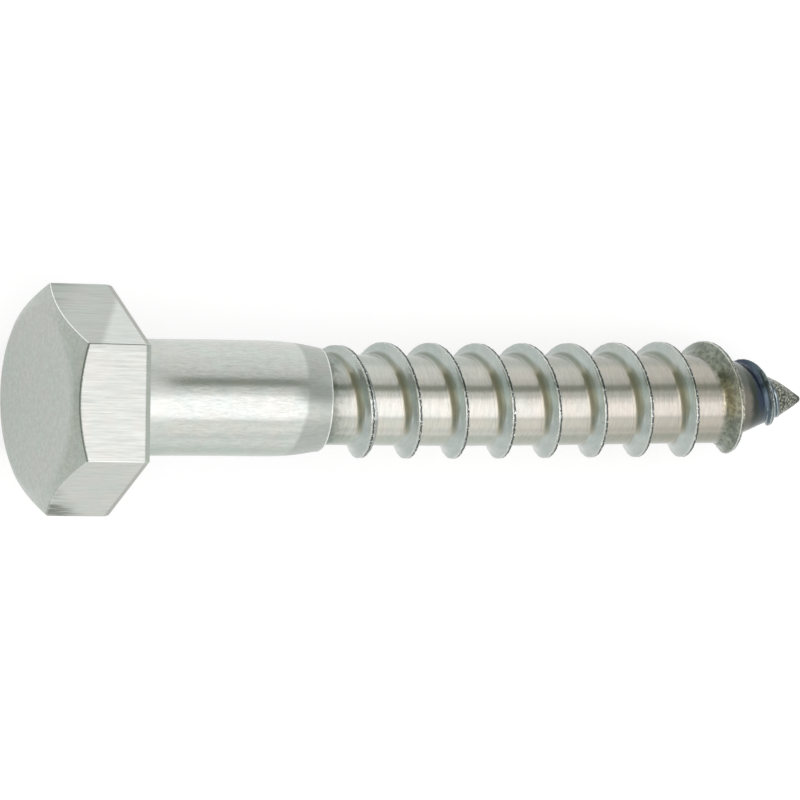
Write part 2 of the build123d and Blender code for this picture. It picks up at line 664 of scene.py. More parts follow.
class Coat(Nodes):
    """The nodes of one finish, with the place on the screw and the shared groups at hand."""

    def __init__(self, tree: bpy.types.NodeTree, groups: Groups) -> None:
        """Starts with where each point is: along the screw, up and to the side.

        Args:
            tree: The material's tree.
            groups: The shared node groups.
        """
        super().__init__(tree)
        self.groups = groups
        self.place = self.place_of_point()
        self.along, self.up, self.side = self.add("SeparateXYZ", {0: self.place}).outputs

    def group(self, tree: bpy.types.NodeTree, inputs: dict[str, Any]) -> list[Socket]:
        """What a shared group puts out for these values."""
        return list(self.add("Group", inputs, node_tree=tree).outputs)

    def broken_line(
        self,
        distance: Any,
        width: float,
        breakup: float,
        scale: float = 3.0,
        offset: float = 0.0,
    ) -> Socket:
        """A mask of what lies nearer a line than a width, with a broken edge.

        Args:
            distance: How far each point is from the line.
            width: Half the line's width.
            breakup: How far its edge wanders.
            scale: How fine the wandering is.
            offset: Shifts the wandering, so that two lines differ.

        Returns:
            The mask.
        """
        inputs = {
            "Distance": distance,
            "Width": width,
            "Breakup": breakup,
            "Scale": scale,
            "Offset": (offset, offset, 0.0),
        }
        return self.group(self.groups.broken_line, inputs)[0]


# ---------------------------------------------------------------- finishes


@dataclass(frozen=True)
class SteelFinish:
    """Bare steel with fine marks, and soft patches of warmer and cooler tone."""

    name: str
    colour: Colour
    lay: Lay
    stretch: float  # how much longer the marks are than wide
    mark_scale: float
    tone_contrast: float
    roughness: float = 0.3
    rough_contrast: float = 0.3
    mark_depth: float = 0.004
    warm: Colour = (1.02, 1.0, 0.99)
    cool: Colour = (0.98, 1.0, 1.0)
    mottle_scale: float = 0.5
    sizes: ScrewSizes = ScrewSizes()

    def marks(self, coat: Coat) -> list[Socket]:
        """The tone and the height of the finish's fine marks.

        Args:
            coat: The finish's nodes.

        Returns:
            The tone and the height.
        """
        drawn = coat.group(coat.groups.coordinates[self.lay], {"Stretch": self.stretch})[0]
        inputs = {"Vector": drawn, "Scale": self.mark_scale, "Contrast": self.tone_contrast}
        return coat.group(coat.groups.grain, inputs)

    def tinted(self, coat: Coat, colour: Any) -> Socket:
        """A colour with the finish's warmer and cooler patches.

        Args:
            coat: The finish's nodes.
            colour: The plain colour.

        Returns:
            The tinted colour.
        """
        inputs = {
            "Color": colour,
            "Warm": self.warm,
            "Cool": self.cool,
            "Scale": self.mottle_scale,
        }
        return coat.group(coat.groups.mottle, inputs)[0]

    def paint(self, coat: Coat) -> Socket:
        """The colour before the fine marks."""
        return self.tinted(coat, self.colour)

    def roughen(self, coat: Coat, tone: Socket) -> Socket:
        """The roughness, a little higher where the marks are darker."""
        swing = 2 * self.roughness * self.rough_contrast / self.tone_contrast
        return coat.scaled(coat.less(1.0, tone), swing, self.roughness)

    def build(self, groups: Groups) -> bpy.types.Material:
        """Makes the material.

        Args:
            groups: The shared node groups.

        Returns:
            The finished material.
        """
        material = bpy.data.materials.new(self.name)
        material.use_nodes = True
        coat = Coat(material.node_tree, groups)
        tone, height = self.marks(coat)
        bump = {"Strength": 1.0, "Distance": self.mark_depth * MM, "Height": height}
        inputs = {
            "Base Color": coat.shaded(self.paint(coat), coat.grey(tone)),
            "Metallic": 1.0,
            "Roughness": self.roughen(coat, tone),
            "Normal": coat.add("Bump", bump).outputs[0],
        }
        coat.surface("BsdfPrincipled", inputs)
        return material


@dataclass(frozen=True)
class Soil:
    """Streaks of soil on one flat of the head, from a corner at its front."""

    turn: float  # of the flat, from the top
    colour: Colour
    lean: float  # how much further along it reaches for each millimetre across the flat
    reach: Span
    streak_scale: float
    streak_edge: Span
    least: float  # between the streaks
    more: float  # in the streaks


@dataclass(frozen=True)
class HeadFinish(SteelFinish):
    """The head's finish: a greyer front with painted shade, rubbed and burred edges with painted
    highlight and shade, a painted reflection on one flat, and marks of the dies.
    """

    # painted shade: the front is painted darker than the flats, for the shadowed floor that it
    # reflects, and its chamfer darker still towards the top
    front_colour: Colour = (0.433, 0.46, 0.429)
    shaded_chamfer: Colour = (0.38, 0.415, 0.375)  # its upper part
    chamfer_shade_radius: Span = (7.2, 8.2)
    chamfer_shade_up: Span = (1.5, 6.5)
    blotches: Span = (0.93, 1.06)  # the darkest and the lightest on the front
    bevel_colour: Colour = (0.4, 0.44, 0.395)
    side_bevel: Colour = (0.37, 0.37, 0.34)
    side_bevel_up: Span = (7.9, 8.3)
    # rubbed edges and corners carry a painted highlight, and edges on one side painted shade; the
    # dark colour also marks the burr on the top flat
    worn_edge_highlight: Colour = (0.8, 0.82, 0.79)
    burr_and_edge_shade: Colour = (0.2, 0.23, 0.2)
    burr_width: float = 0.11
    # painted reflection: a light patch on one flat towards the shank; the rest of that flat is
    # painted darker as shade
    patch_turn: float = -60.0  # of the flat with a light patch, from the top
    patch_corner: float = 3.3  # the patch's slanting edge: across the flat where along is 0
    patch_slant: float = 0.5575
    reflection_patch: Colour = (0.61, 0.635, 0.605)
    flat_shade_cast: Colour = (0.87, 0.885, 0.885)  # of that flat outside the patch
    soils: tuple[Soil, ...] = (
        Soil(-60.0, (0.26, 0.29, 0.26), -0.6, (-1.2, 2.2), 2.2, (0.42, 0.62), 0.3, 0.5),
        Soil(60.0, (0.14, 0.16, 0.13), 0.75, (-0.8, 2.2), 2.6, (0.4, 0.54), 0.15, 0.75),
    )
    spared_turn: float = 60.0  # of the flat whose edges are rubbed less
    spared_share: float = 0.75

    def _flat(self, coat: Coat, turn: float) -> tuple[Socket, Socket]:
        """How far across the flat at this turn a point is, and 1 if it lies on that flat.

        Args:
            coat: The finish's nodes.
            turn: The flat's turn from the top, in degrees.

        Returns:
            The place across the flat in millimetres, and the mask.
        """
        up, side = cos(radians(turn)), sin(radians(turn))
        outward = coat.dot(coat.place, (0.0, up, side))
        distance = self.sizes.across_flats / 2
        on_flat = coat.ramp(outward, distance - 0.14, distance - 0.04)
        return coat.dot(coat.place, (0.0, -side, up)), on_flat

    def _front(self, coat: Coat, radius: Socket) -> Socket:
        """The blotchy front, painted darker as shade, with more painted shade on its chamfer
        towards the top.

        Args:
            coat: The finish's nodes.
            radius: How far each point is from the axis.

        Returns:
            The front's colour.
        """
        shade = coat.ramp(radius, *self.chamfer_shade_radius)
        shade = coat.times(shade, coat.ramp(coat.up, *self.chamfer_shade_up))
        front = self.tinted(coat, coat.mix(shade, self.front_colour, self.shaded_chamfer))
        blotch = coat.ramp(coat.noise(coat.place, 2.3, 4.0, 0.7), 0.36, 0.64, *self.blotches)
        return coat.shaded(front, coat.grey(blotch))

    def _patched(self, coat: Coat, body: Socket) -> Socket:
        """One flat painted darker as shade, with a painted reflection as a light patch towards the
        shank.

        Args:
            coat: The finish's nodes.
            body: The colour so far.

        Returns:
            The new colour.
        """
        across, on_flat = self._flat(coat, self.patch_turn)
        border = coat.math("ADD", across, self.patch_corner)
        border = coat.scaled(border, self.patch_slant, coat.along)
        shaded_flat = coat.mix(on_flat, body, coat.shaded(body, self.flat_shade_cast))
        patch = coat.times(coat.ramp(border, -0.35, 0.45), on_flat)
        return coat.mix(patch, shaded_flat, self.reflection_patch)

    def _soiled(self, coat: Coat, body: Socket, behind: Socket, soil: Soil) -> Socket:
        """The steel with one flat's soil on it.

        Args:
            coat: The finish's nodes.
            body: The colour so far.
            behind: How far each point is behind the front and its chamfer.
            soil: The flat's soil.

        Returns:
            The new colour.
        """
        across, on_flat = self._flat(coat, soil.turn)
        corner = coat.less(coat.times(across, soil.lean), behind)
        drawn_out = coat.vector("MULTIPLY", coat.place, (0.1, 1.0, 1.0))
        streaks = coat.noise(drawn_out, soil.streak_scale, 3.0, 0.6)
        streaks = coat.ramp(streaks, *soil.streak_edge)
        share = coat.scaled(streaks, soil.more, soil.least)
        share = coat.times(coat.ramp(corner, *soil.reach), on_flat, share)
        return coat.mix(share, body, soil.colour)

    def _worn(self, coat: Coat, body: Socket, behind: Socket) -> Socket:
        """The steel with its burr on the top flat, its bevel, and its rubbed edges with painted
        highlight and shade.

        Args:
            coat: The finish's nodes.
            body: The colour so far.
            behind: How far each point is behind the front and its chamfer.

        Returns:
            The new colour.
        """
        _, on_top = self._flat(coat, 0.0)
        burr = coat.broken_line(coat.less(behind, 0.02), self.burr_width, 0.2, 6.0)
        body = coat.mix(coat.times(burr, on_top), body, self.burr_and_edge_shade)
        bevel_up = coat.ramp(coat.up, *self.side_bevel_up)
        bevel = coat.mix(bevel_up, self.side_bevel, self.bevel_colour)
        bevel_start = -self.sizes.bevel_length
        body = coat.mix(coat.ramp(coat.along, bevel_start - 0.07, bevel_start + 0.03), body, bevel)

        edge = coat.value_of(EDGE)
        on_corner = coat.ramp(edge, 0.75, 0.95)
        _, on_spared = self._flat(coat, self.spared_turn)
        spared = coat.math("MAXIMUM", on_top, coat.times(on_spared, self.spared_share))
        spared = coat.times(spared, coat.less(1.0, on_corner))
        # painted highlight on the corners and on the edges towards the side, painted shade on those
        # away from it
        edge_mask = coat.broken_line(coat.less(1.0, edge), 0.5, 0.5)
        edge_mask = coat.times(edge_mask, coat.less(1.0, spared))
        lit_and_shaded_edge = coat.mix(coat.ramp(coat.side, -1.0, 1.0), self.burr_and_edge_shade, self.worn_edge_highlight)
        return coat.mix(edge_mask, body, coat.mix(on_corner, self.worn_edge_highlight, lit_and_shaded_edge))

    def paint(self, coat: Coat) -> Socket:
        """The steel with its front, its marks and its edges.

        Args:
            coat: The finish's nodes.

        Returns:
            The colour before the fine marks.
        """
        sizes = self.sizes
        ring = coat.vector("MULTIPLY", coat.place, (0.0, 1.0, 1.0))
        radius = coat.add("VectorMath", {0: ring}, operation="LENGTH").outputs[1]
        on_chamfer = coat.less(radius, sizes.front_face_diameter / 2)
        rise = coat.times(on_chamfer, tan(radians(sizes.chamfer_angle)))
        behind = coat.less(coat.less(coat.along, -sizes.head_height), rise)
        flat = sizes.across_flats / 2
        on_flats = coat.ramp(radius, flat - 0.2, flat - 0.1)
        on_flats = coat.times(coat.ramp(behind, 0.01, 0.06), on_flats)
        body = coat.mix(on_flats, self._front(coat, radius), super().paint(coat))
        body = self._patched(coat, body)
        for soil in self.soils:
            body = self._soiled(coat, body, behind, soil)
        return self._worn(coat, body, behind)


@dataclass(frozen=True)
class ShankFinish(SteelFinish):
    """The shank's finish, matt where the dies drew the shoulder down."""

    # painted shade: darker and greener along the shank's lower side, for the shadowed floor that it
    # reflects
    low_painted_shade: Colour = (0.42, 0.47, 0.42)
    low_side: Span = (3.6, 4.5)
    # painted light: lighter patches just under the head, over the highlight and the dark reflected
    # streak
    painted_light_colour: Colour = (0.82, 0.84, 0.81)
    painted_light_patches: tuple[tuple[Span, Span, float], ...] = (
        ((-2.0, 1.5), (2.2, 5.0), 0.3),
        ((-1.9, -1.0), (2.0, 4.0), 0.7),
    )  # painted light under the head: where on the side, where it ends along the screw, and how strong it is
    shoulder_start: float = 16.2
    shoulder_colour: Colour = (0.398, 0.422, 0.393)
    # painted highlight: a lighter band along the shoulder
    shoulder_highlight: Colour = (0.51, 0.535, 0.505)
    highlight_side: Span = (-1.9, -1.1)
    # painted highlight along the shoulder's rim
    rim_highlight: Colour = (0.74, 0.76, 0.73)
    shoulder_roughness: float = 0.3
    rougher_end: Span = (2.0, 5.5)
    rougher_by: float = 0.14  # just under the head

    def _on_shoulder(self, coat: Coat) -> Socket:
        """1 on the shoulder, with a crisp start.

        Args:
            coat: The finish's nodes.

        Returns:
            The mask.
        """
        uneven = coat.times(coat.noise(coat.place, 1.5, 2.0), 0.4)
        reached = coat.math("ADD", coat.dot(coat.place, (1.0, 0.0, 0.1)), uneven)
        return coat.ramp(reached, self.shoulder_start, self.shoulder_start + 0.5)

    def paint(self, coat: Coat) -> Socket:
        """The steel, greyer on the shoulder, with painted shade along its lower side, painted light
        under the head, and painted highlights on the shoulder and along its rim.

        Args:
            coat: The finish's nodes.

        Returns:
            The colour before the fine marks.
        """
        colour = coat.mix(coat.ramp(coat.side, *self.low_side), self.colour, self.low_painted_shade)
        for side, end, share in self.painted_light_patches:
            painted_light = coat.fade(coat.along, *end, share)
            painted_light = coat.times(coat.window(coat.side, *side, 0.5), painted_light)
            colour = coat.mix(painted_light, colour, self.painted_light_colour)
        light = coat.window(coat.side, *self.highlight_side, 0.6)
        shoulder = coat.mix(light, self.shoulder_colour, self.shoulder_highlight)
        body, shoulder = self.tinted(coat, colour), self.tinted(coat, shoulder)
        edge_mask = coat.broken_line(coat.less(1.0, coat.value_of(EDGE)), 0.5, 1.3)
        return coat.mix(edge_mask, coat.mix(self._on_shoulder(coat), body, shoulder), self.rim_highlight)

    def roughen(self, coat: Coat, tone: Socket) -> Socket:
        """The roughness, higher on the shoulder and just under the head.

        Args:
            coat: The finish's nodes.
            tone: The tone of the fine marks.

        Returns:
            The roughness.
        """
        extra = self.shoulder_roughness - self.roughness
        rougher = coat.scaled(self._on_shoulder(coat), extra, super().roughen(coat, tone))
        under_head = coat.fade(coat.along, *self.rougher_end, self.rougher_by)
        return coat.math("ADD", rougher, under_head)


@dataclass(frozen=True)
class ThreadFinish(SteelFinish):
    """Rolled steel: a warm core, cool flanks, a torn crest, and a heat-tinted, gritty point."""

    # The core between the ridge's turns
    far_colour: Colour = (0.44, 0.415, 0.363)  # near the point
    run_in_colour: Colour = (0.4, 0.42, 0.38)
    run_in_end: Span = (20.4, 22.4)
    rim_shade: Colour = (0.16, 0.18, 0.15)  # behind the shoulder's rim
    rim_shade_end: Span = (19.5, 20.7)
    # darker and browner low on the core, more so towards the point
    low_darkening: Colour = (0.16, 0.13, 0.07)
    # painted shade: the core darker and greener near its top and bottom, where it reflects its
    # darker surroundings
    upper_painted_shade: Colour = (0.74, 0.785, 0.785)
    upper_side: Span = (-3.3, -2.6)
    lower_painted_shade: Colour = (0.74, 0.79, 0.76)
    lower_side: Span = (2.7, 3.1)

    # The flanks; "back" is the side towards the point
    # painted shade and light: the flank on the head's side is painted darker than the core and the
    # back lighter, with a band of painted highlight and one of painted shade
    flank_colour: Colour = (0.42, 0.46, 0.435)
    flank_highlight: Colour = (0.54, 0.59, 0.555)
    highlight_side: Span = (-0.9, 0.2)
    flank_shade: Colour = (0.35, 0.385, 0.365)
    shade_side: Span = (1.8, 2.9)
    back_colour: Colour = (0.76, 0.8, 0.77)
    first_back: Colour = (0.5, 0.52, 0.49)  # on the first turn
    first_back_end: Span = (25.0, 26.5)

    # Painted shade along the root of the ridge on the head's side, and a painted highlight along
    # the foot beside it
    root_shade_colour: Colour = (0.31, 0.3, 0.225)
    root_across: Span = (-0.98, -0.62)
    upper_root_shade: Colour = (0.205, 0.235, 0.19)
    low_root_shade: Colour = (0.165, 0.18, 0.125)
    foot_highlight: Colour = (0.47, 0.44, 0.345)
    foot_across: Span = (-1.12, -1.0)

    # The crest
    on_crest: Span = (0.88, 0.96)  # of the ridge's height
    # the crest's dark line is its tear and painted shade on its far side; the glint and the nicks'
    # bright specks are painted highlights
    crest_colour: Colour = (0.08, 0.09, 0.08)
    glint_colour: Colour = (0.5, 0.52, 0.48)
    smeared_colour: Colour = (0.25, 0.265, 0.25)  # on the first turn, where it is blunt
    smeared_across: Span = (0.2, 0.3)
    smeared_end: Span = (26.0, 27.0)
    nick_glint_colour: Colour = (0.85, 0.86, 0.82)

    # The last turn
    brown_colour: Colour = (0.385, 0.36, 0.26)
    dulled_colour: Colour = (0.19, 0.21, 0.165)  # where it is less brown
    brown_blotches: Span = (0.6, 1.25)  # the darkest and the lightest

    # The neck, the collar and the point, and where each tint starts
    neck_colour: Colour = (0.19, 0.178, 0.15)
    cold_neck: Colour = (0.1, 0.115, 0.098)
    low_neck: Colour = (0.118, 0.118, 0.093)
    neck_start: Span = (58.9, 59.5)
    teal_colour: Colour = (0.042, 0.052, 0.042)
    teal_start: Span = (59.9, 60.6)
    navy_colour: Colour = (0.041, 0.056, 0.084)
    low_navy: Colour = (0.055, 0.068, 0.066)
    navy_start: Span = (60.85, 61.15)
    steel_blue: Colour = (0.076, 0.105, 0.126)
    blue_start: Span = (61.6, 61.95)
    pale_blue: Colour = (0.31, 0.36, 0.355)
    pale_start: Span = (62.0, 62.3)
    pale_lines: float = 19.0  # radians for each millimetre across the collar
    grit_light: Colour = (0.4, 0.4, 0.33)
    grit_dark: Colour = (0.055, 0.066, 0.052)

    def _core(self, coat: Coat) -> Socket:
        """The core: rough and grey at first, browner towards the point and low down, and darker and
        greener above and below as painted shade.

        Args:
            coat: The finish's nodes.

        Returns:
            The core's colour.
        """
        from_rim = coat.dot(coat.place, (1.0, tan(radians(self.sizes.rim_slant)), 0.0))
        uneven = coat.scaled(coat.wander(coat.place, 1.6, 3.0, 0.6), 2.2, from_rim)
        low = coat.ramp(coat.side, 1.4, 3.0)
        core = coat.layered(
            self.colour,
            (coat.ramp(coat.along, 20.0, 64.0), self.far_colour),
            (coat.fade(uneven, *self.run_in_end), self.run_in_colour),
            (coat.fade(uneven, *self.rim_shade_end, 0.8), self.rim_shade),
            (coat.times(low, coat.ramp(coat.along, 30.0, 62.0, 0.0, 0.25)), self.low_darkening),
        )
        core = self.tinted(coat, core)
        core = coat.shaded(core, self.upper_painted_shade, coat.fade(coat.side, *self.upper_side))
        return coat.shaded(core, self.lower_painted_shade, coat.ramp(coat.side, *self.lower_side))

    def _flanked(self, coat: Coat, body: Socket) -> Socket:
        """The core with the ridge's flanks on it, in painted light and shade.

        Args:
            coat: The finish's nodes.
            body: The colour so far.

        Returns:
            The new colour.
        """
        first = coat.fade(coat.along, *self.first_back_end)
        rise = coat.value_of(RISE)
        behind = coat.ramp(coat.value_of(ACROSS), 0.08, 0.18)
        behind = coat.times(behind, coat.fade(rise, *self.on_crest))
        flank = coat.layered(
            self.flank_colour,
            (coat.window(coat.side, *self.highlight_side, 0.5), self.flank_highlight),
            (coat.window(coat.side, *self.shade_side, 0.5), self.flank_shade),
            (behind, coat.mix(first, self.back_colour, self.first_back)),
        )
        return coat.mix(coat.ramp(rise, 0.02, 0.3), body, self.tinted(coat, flank))

    def _rooted(self, coat: Coat, body: Socket) -> Socket:
        """The ridge with painted shade along its root and a painted highlight along its foot.

        Args:
            coat: The finish's nodes.
            body: The colour so far.

        Returns:
            The new colour.
        """
        across, full = coat.value_of(ACROSS), coat.value_of(FULL)
        # painted shade along the root, and a painted highlight along the foot
        root = coat.times(coat.window(across, *self.root_across, 0.16), full, 0.9)
        painted_root_shade = coat.layered(
            self.root_shade_colour,
            (coat.window(coat.side, 1.2, 2.3, 0.5), self.low_root_shade),
            (coat.fade(coat.side, -3.6, -2.6), self.upper_root_shade),
            (coat.ramp(coat.side, 2.5, 3.2), self.flank_colour),
        )
        foot = coat.times(coat.window(across, *self.foot_across, 0.04), full)
        painted_light = coat.scaled(coat.value_of(BROWNED), -0.8, 0.8)
        painted_light = coat.times(foot, painted_light, coat.window(coat.side, -2.6, 2.6, 0.4))
        return coat.layered(body, (root, painted_root_shade), (painted_light, self.foot_highlight))

    def _browned(self, coat: Coat, body: Socket) -> Socket:
        """The thread with its last turn browned and blotchy.

        Args:
            coat: The finish's nodes.
            body: The colour so far.

        Returns:
            The new colour.
        """
        brownest = coat.window(coat.side, -1.7, 1.4, 0.9)
        brown = coat.mix(brownest, self.dulled_colour, self.brown_colour)
        blotch = coat.noise(coat.place, 1.8, 4.0, 0.65)
        blotch = coat.ramp(blotch, 0.38, 0.64, *self.brown_blotches)
        brown = coat.shaded(brown, coat.grey(blotch))
        return coat.mix(coat.times(coat.value_of(BROWNED), 0.9), body, brown)

    def _tinted_point(self, coat: Coat, body: Socket) -> Socket:
        """The thread with the heat tint before and on the collar, and the gritty point beyond.

        Args:
            coat: The finish's nodes.
            body: The colour so far.

        Returns:
            The new colour.
        """
        uneven = coat.times(coat.wander(coat.place, 1.3), 0.7)
        heat = coat.math("ADD", coat.value_of(TINT_PLACE), uneven)
        neck = coat.layered(
            self.neck_colour,
            (coat.fade(coat.side, -1.8, -0.2), self.cold_neck),
            (coat.ramp(coat.side, 0.8, 2.0), self.low_neck),
        )
        navy = coat.mix(coat.ramp(coat.side, 0.4, 1.4), self.navy_colour, self.low_navy)
        ruffle = coat.times(coat.value_of(ACROSS), self.pale_lines)
        ruffle = coat.scaled(coat.noise(coat.place, 2.5, 2.0), 2.5, ruffle)
        lines = coat.ramp(coat.math("SINE", ruffle), 0.35, 0.95)
        speck = coat.ramp(coat.noise(coat.place, 4.5, 3.0, 0.7), 0.47, 0.62)
        return coat.layered(
            body,
            (coat.ramp(heat, *self.neck_start), neck),
            (coat.ramp(heat, *self.teal_start), self.teal_colour),
            (coat.ramp(heat, *self.navy_start), navy),
            (coat.ramp(heat, *self.blue_start), self.steel_blue),
            (coat.ramp(heat, *self.pale_start), coat.mix(lines, self.steel_blue, self.pale_blue)),
            (coat.value_of(BEYOND), coat.mix(speck, self.grit_dark, self.grit_light)),
        )

    def _crested(self, coat: Coat, body: Socket) -> Socket:
        """The thread with its crest: smeared, torn and nicked, with painted shade in the tear's
        dark line and painted glints beside it and on the nicks.

        Args:
            coat: The finish's nodes.
            body: The colour so far.

        Returns:
            The new colour.
        """
        across = coat.value_of(ACROSS)
        on_crest = coat.times(coat.ramp(coat.value_of(RISE), *self.on_crest), coat.value_of(FULL))
        torn = coat.broken_line(coat.less(across, 0.11), 0.11, 0.18, 6.0)
        unbrowned = coat.scaled(coat.value_of(BROWNED), -0.65, 1.0)
        glint = coat.broken_line(coat.math("ADD", across, 0.07), 0.05, 0.12, 5.0, 9.0)
        smeared = coat.ramp(across, *self.smeared_across)
        first = coat.fade(coat.along, *self.smeared_end, 0.7)
        nick_glint = coat.ramp(coat.noise(coat.place, 9.0, 1.0), 0.62, 0.68)
        spared = coat.ramp(across, *self.smeared_across, 1.0, 0.3)
        return coat.layered(
            body,
            (coat.times(smeared, on_crest, first), self.smeared_colour),
            (coat.times(glint, on_crest), self.glint_colour),
            (coat.times(torn, on_crest, unbrowned), self.crest_colour),
            (coat.times(nick_glint, spared, on_crest), self.nick_glint_colour),
        )

    def paint(self, coat: Coat) -> Socket:
        """The colours of the core, flanks, root, last turn, neck, point and crest.

        Args:
            coat: The finish's nodes.

        Returns:
            The colour before the fine marks.
        """
        body = self._core(coat)
        for layer in (
            self._flanked,
            self._rooted,
            self._browned,
            self._tinted_point,
            self._crested,
        ):
            body = layer(coat, body)
        return body


# ---------------------------------------------------------------- the screw's parts


@dataclass
class Head:
    """The hexagon head: flats, blunt front cone, eased corners and a shallow bevel behind.

    It was headed a little off the shank's axis and askew.
    """

    sizes: ScrewSizes
    screw: ScrewFrame
    corner_round: float = 0.12
    corner_steps: int = 5
    front_round: float = 0.35
    arc_round: float = 0.09
    bevel_round: float = 0.1
    bearing_round: float = 0.05
    off_axis: float = 0.19
    askew: float = 0.018  # sideways for each millimetre along
    flat_columns: int = 14
    longest_run: float = 0.75  # left undivided along the head

    def outline(self) -> tuple[np.ndarray, np.ndarray, np.ndarray]:
        """The hexagon with its corners eased.

        Returns:
            The radius and the angle of each point, and 1 where it lies on a corner.
        """
        distance = self.sizes.across_flats / 2
        inner = distance - self.corner_round
        half = inner * tan(radians(30))
        points = [
            (distance, half * share, 0.0)
            for share in np.sin(np.linspace(-pi / 2, pi / 2, self.flat_columns))
        ]
        for step in range(1, self.corner_steps):
            bend = radians(60 * step / self.corner_steps)
            x, y = self.corner_round * cos(bend), self.corner_round * sin(bend)
            points.append((inner + x, half + y, 1.0))
        x, y, corner = np.array(points).T
        angle = np.radians(60 * np.arange(6))[:, None] + np.arctan2(y, x)
        return np.tile(np.hypot(x, y), 6), angle.ravel(), np.tile(corner, 6)

    def section(self, flat_radius: float) -> np.ndarray:
        """The head's profile where its side has this radius, from the front to under the head.

        Args:
            flat_radius: How far the flat or the corner is from the axis.

        Returns:
            Places along and away from the axis.
        """
        sizes = self.sizes
        front = sizes.front_face_diameter / 2
        arc = -sizes.head_height + (flat_radius - front) * tan(radians(sizes.chamfer_angle))
        corners = [
            (-sizes.head_height, 0.0),
            (-sizes.head_height, front),
            (arc, flat_radius),
            (-sizes.bevel_length, flat_radius),
            (0.0, flat_radius * (1 - 2 * sizes.bevel_depth / sizes.across_flats)),
            (0.0, 0.0),
        ]
        rounds = [0, self.front_round, self.arc_round, self.bevel_round, self.bearing_round, 0]
        return softened(corners, rounds)

    def build(self, finish: SteelFinish, groups: Groups) -> bpy.types.Object:
        """Builds and dresses the head.

        Args:
            finish: The head's finish.
            groups: The shared node groups.

        Returns:
            The piece.
        """
        radius, angle, corner = self.outline()
        lines = [self.section(value) for value in radius]
        shares = divided(lines[0], self.longest_run, 10)
        line = np.array(
            [[np.interp(shares, range(len(one)), one[:, side]) for side in (0, 1)] for one in lines]
        )
        along = line[:, 0]
        grid = Grid(along, line[:, 1], angle[:, None])
        grid.sideways = self.off_axis + self.askew * along
        side_start, side_end = 2 * ROUND_POINTS, 2 * ROUND_POINTS + 1
        on_arc = (shares > ROUND_POINTS + 1) & (shares < side_start)
        on_side = (shares >= side_start) & (shares <= side_end)
        grid.carry(EDGE, np.maximum(0.7 * on_arc[None], on_side[None] * corner[:, None]))
        piece = grid.piece("hexagon_head", self.screw, grid.closed_faces(), finish.build(groups))
        weighted = piece.modifiers.new("flat_shading", "WEIGHTED_NORMAL")
        weighted.weight = 90
        return piece


@dataclass
class Shank:
    """The plain shank with the shoulder that the rolling dies drew down to a slanting rim."""

    sizes: ScrewSizes
    screw: ScrewFrame
    rows: int = 144
    rim_round: float = 0.07
    rim_edge: float = 0.1  # how far before the rim its edge begins
    hidden_length: float = 0.3  # inside the head
    overlap: float = 0.4  # how deep the face behind the rim goes into the core
    lip_angle: float = 90.0
    lip_width: float = 6.0
    lip_height: float = 0.1
    lip_length: float = 0.3

    def section(self, angle: float) -> np.ndarray:
        """The profile at an angle round the shank.

        Args:
            angle: Radians from the top.

        Returns:
            Places along and away from the axis, from inside the head to behind the rim.
        """
        sizes = self.sizes
        radius, rim_radius = sizes.shank_diameter / 2, sizes.rim_diameter / 2
        drop = radius - rim_radius
        bend = (sizes.shoulder_length**2 + drop**2) / (2 * drop)
        slant = tan(radians(sizes.rim_slant))
        rim = sizes.rim_position - slant * rim_radius * cos(angle)
        root = sizes.neck_chamfer
        plain = np.linspace(root, sizes.shank_length, 15)
        drawn = np.linspace(sizes.shank_length, rim - 2 * self.rim_edge, 12)[1:]
        body = []
        for stop in [*plain, *drawn, rim - self.rim_edge]:
            past = max(0.0, stop - sizes.shank_length)
            body.append((stop, radius - (bend - sqrt(bend**2 - past**2))))
        last = body[-1][1] - self.rim_edge * tan(asin((rim - sizes.shank_length) / bend))
        inner = sizes.core_diameter / 2 - self.overlap
        hidden = -self.hidden_length
        corners = [(hidden, 0.0), (hidden, radius + root), (0.0, radius + root), *body]
        corners += [(rim, last), (rim + slant * (last - inner), inner), (rim, 0.0)]
        rounds = [0.0] * len(corners)
        rounds[-3] = self.rim_round
        return softened(corners, rounds)

    def build(self, finish: SteelFinish, groups: Groups) -> bpy.types.Object:
        """Builds and dresses the shank.

        Args:
            finish: The shank's finish.
            groups: The shared node groups.

        Returns:
            The piece.
        """
        angle = np.linspace(0, 2 * pi, self.rows, endpoint=False)
        line = np.array([self.section(value) for value in angle])
        along, away = line[..., 0], line[..., 1]
        columns = np.arange(along.shape[1])
        behind_rim = len(columns) - 2  # the last two columns lie inside the screw
        turned = (np.degrees(angle)[:, None] - self.lip_angle) / self.lip_width
        from_rim = (along - along[:, -3:-2]) / self.lip_length
        lip = self.lip_height * np.exp(-(turned**2) - from_rim**2)
        away = away + np.where(columns < behind_rim, lip, 0.0)
        grid = Grid(along, away, angle[:, None])
        grid.sideways = self.screw.bow(along)
        on_rim = (columns > behind_rim - ROUND_POINTS - 2) & (columns < behind_rim - 1)
        grid.carry(EDGE, on_rim[None] * 1.0)
        return grid.piece("plain_shank", self.screw, grid.closed_faces(), finish.build(groups))


@dataclass
class ThreadRows:
    """The points of the thread's ribbon, by row and column."""

    crest: np.ndarray  # the place of the crest that the row starts from
    own_crest: np.ndarray  # the place of the crest of the point's own ridge
    angle: np.ndarray
    along: np.ndarray
    across: np.ndarray
    past_land: np.ndarray  # how far each point is beyond the crest that the row starts from
    height: np.ndarray  # over the core
    top: np.ndarray  # the height of the crest

    @property
    def share(self) -> np.ndarray:
        """The height as a share of the crest's."""
        return self.height / np.maximum(self.top, 0.02)


